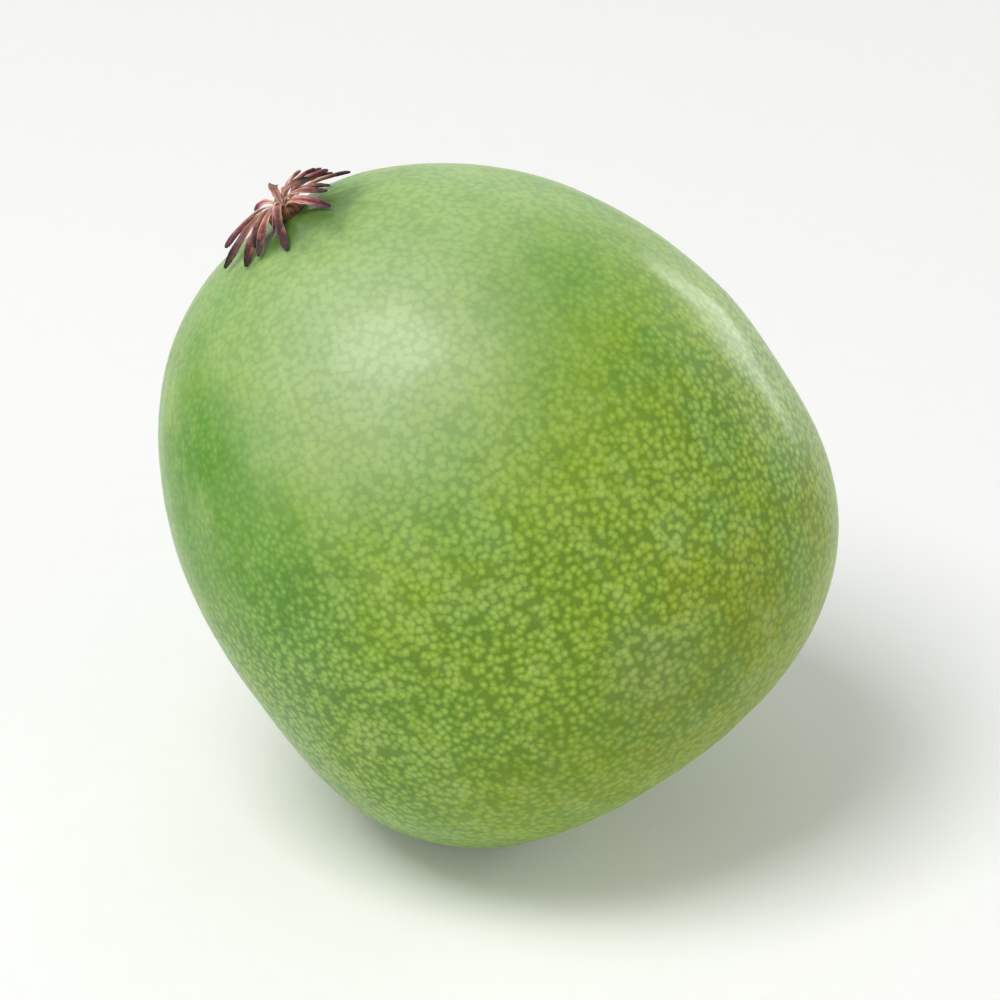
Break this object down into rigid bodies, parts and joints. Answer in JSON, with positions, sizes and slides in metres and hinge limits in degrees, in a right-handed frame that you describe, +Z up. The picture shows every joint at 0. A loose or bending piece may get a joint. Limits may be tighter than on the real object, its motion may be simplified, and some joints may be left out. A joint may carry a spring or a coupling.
{
  "type": "kiwi berry",
  "caption": "Smooth-skinned hardy kiwi fruit, whole and ripe green, leaning on its stem-end shoulder, with the dried star of styles at its blossom end.",
  "frame": {"origin": "middle of the small flat spot on the underside that the fruit rests on", "axes": "+Z up from the surface; the fruit's own axis leans 35.5 degrees from +Z, with the blossom end and its styles up towards -X and the stem end down towards +X"},
  "size_m": [0.0289, 0.0261, 0.0287],
  "materials": {
    "skin": "satin",
    "style_base": "matte",
    "styles": "matte"
  },
  "bodies": {
    "root": {"berry": "skin", "style_base": "style_base", "style_01": "styles", "style_02": "styles", "style_03": "styles", "style_04": "styles", "style_05": "styles", "style_06": "styles", "style_07": "styles", "style_08": "styles", "style_09": "styles", "style_10": "styles", "style_11": "styles", "style_12": "styles", "style_13": "styles", "style_14": "styles", "style_15": "styles", "style_16": "styles", "style_17": "styles", "style_18": "styles", "style_19": "styles", "style_20": "styles", "style_21": "styles", "style_22": "styles", "style_23": "styles", "style_24": "styles"}
  },
  "joints": []
}
